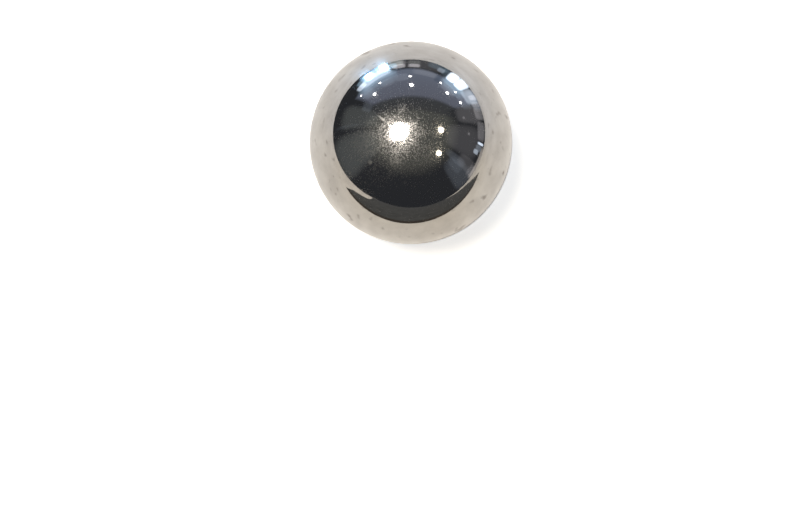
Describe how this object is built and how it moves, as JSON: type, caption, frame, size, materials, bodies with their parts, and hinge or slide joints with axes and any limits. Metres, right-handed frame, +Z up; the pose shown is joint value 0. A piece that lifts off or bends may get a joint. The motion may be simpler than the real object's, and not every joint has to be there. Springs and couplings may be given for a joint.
{
  "type": "steel ball",
  "caption": "Solid mirror-polished steel ball: a plain sphere that rolls in a race or groove, seats in a cup or ring, or clings to a magnet.",
  "frame": {"origin": "centre of the ball", "axes": "+Z up, away from the seat the ball is held in; X and Y are any two level directions, since the ball is round about every axis"},
  "size_m": [0.0254, 0.0254, 0.0254],
  "materials": {
    "polished_steel": "polished"
  },
  "bodies": {
    "root": {"ball": "polished_steel"}
  },
  "joints": []
}
